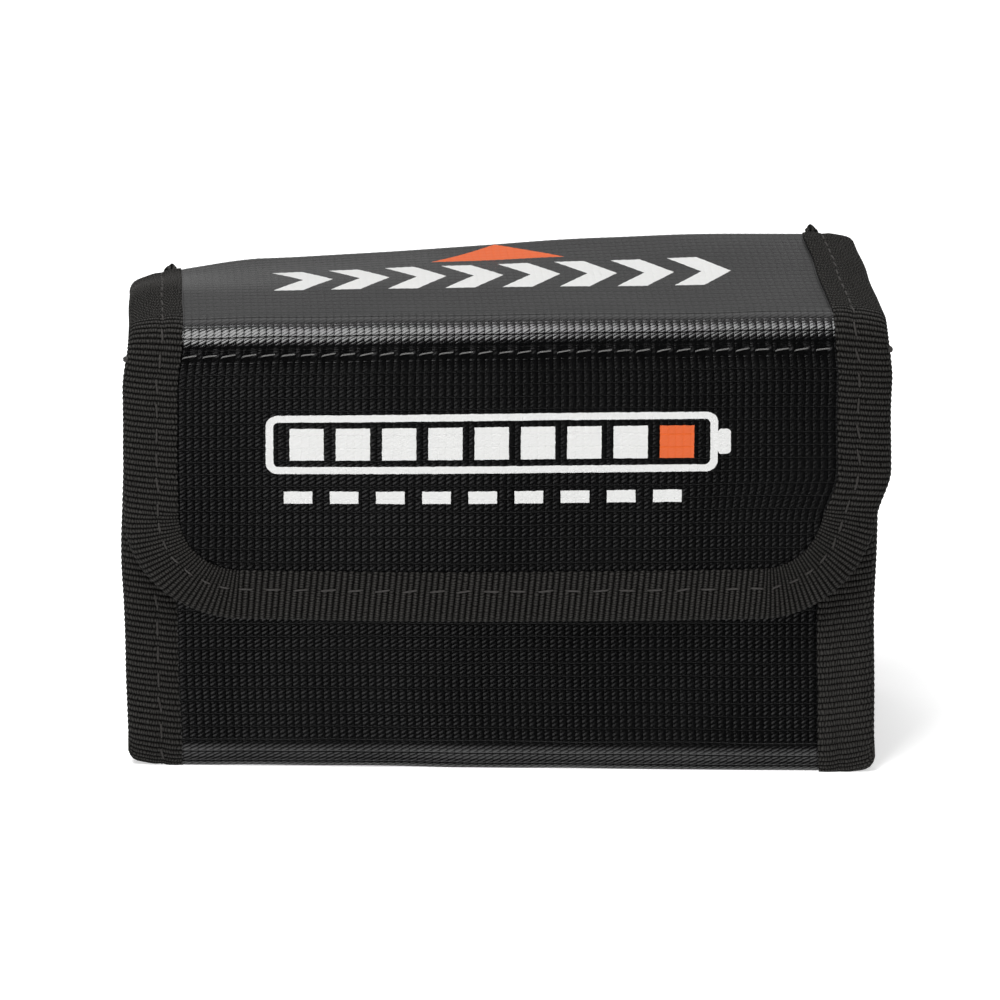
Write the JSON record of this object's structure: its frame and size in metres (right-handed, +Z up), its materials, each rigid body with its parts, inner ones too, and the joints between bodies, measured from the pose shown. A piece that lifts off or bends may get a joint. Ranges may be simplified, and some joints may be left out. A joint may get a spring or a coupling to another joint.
{
  "type": "lipo safe bag",
  "caption": "Box-shaped fire-resistant bag for rechargeable packs, with bound seams and a lid flap that folds over the front and closes with hook and loop tape.",
  "frame": {"origin": "middle of the base, on the surface that the bag stands on", "axes": "+X to the right as the front is faced, +Y towards the back wall, +Z up"},
  "size_m": [0.143, 0.0666, 0.0905],
  "materials": {
    "coated_cloth": "black coated glass-fibre cloth with a raised scrim, semi-gloss",
    "binding_tape": "ribbed black nylon binding tape, satin",
    "lining_cloth": "silver-grey woven glass-fibre lining",
    "thread": "black polyester sewing thread, matt",
    "loop_tape": "black looped nylon pile on a woven tape",
    "hook_tape": "black nylon hooks on a woven tape"
  },
  "bodies": {
    "body": {"front_base_panel": "coated_cloth", "back_panel": "coated_cloth", "left_side_panel": "coated_cloth", "right_side_panel": "coated_cloth", "front_base_lining": "lining_cloth", "back_lining": "lining_cloth", "left_side_lining": "lining_cloth", "right_side_lining": "lining_cloth", "left_side_binding": "binding_tape", "right_side_binding": "binding_tape", "front_mouth_binding": "binding_tape", "left_mouth_binding": "binding_tape", "right_mouth_binding": "binding_tape", "base_seam_thread": "thread", "left_side_binding_thread": "thread", "right_side_binding_thread": "thread", "front_mouth_thread": "thread", "left_mouth_thread": "thread", "right_mouth_thread": "thread", "loop_strip_thread": "thread", "loop_strip": "loop_tape"},
    "flap_top": {"flap_top_panel": "coated_cloth", "flap_top_lining": "lining_cloth", "left_flap_top_binding": "binding_tape", "right_flap_top_binding": "binding_tape", "flap_top_binding_thread": "thread"},
    "flap_front": {"flap_front_panel": "coated_cloth", "flap_front_lining": "lining_cloth", "flap_front_binding": "binding_tape", "flap_front_binding_thread": "thread", "flap_crease_thread": "thread", "hook_strip": "hook_tape", "hook_strip_thread": "thread"}
  },
  "joints": [
    {"name": "flap_hinge", "type": "hinge", "parent": "body", "child": "flap_top", "pos_m": [0, 0.03201, 0.08851], "axis": [-1, 0, 0], "range_deg": [0, 215]},
    {"name": "flap_fold", "type": "hinge", "parent": "flap_top", "child": "flap_front", "pos_m": [0, -0.0311, 0.0883], "axis": [-1, 0, 0], "range_deg": [0, 90]}
  ]
}
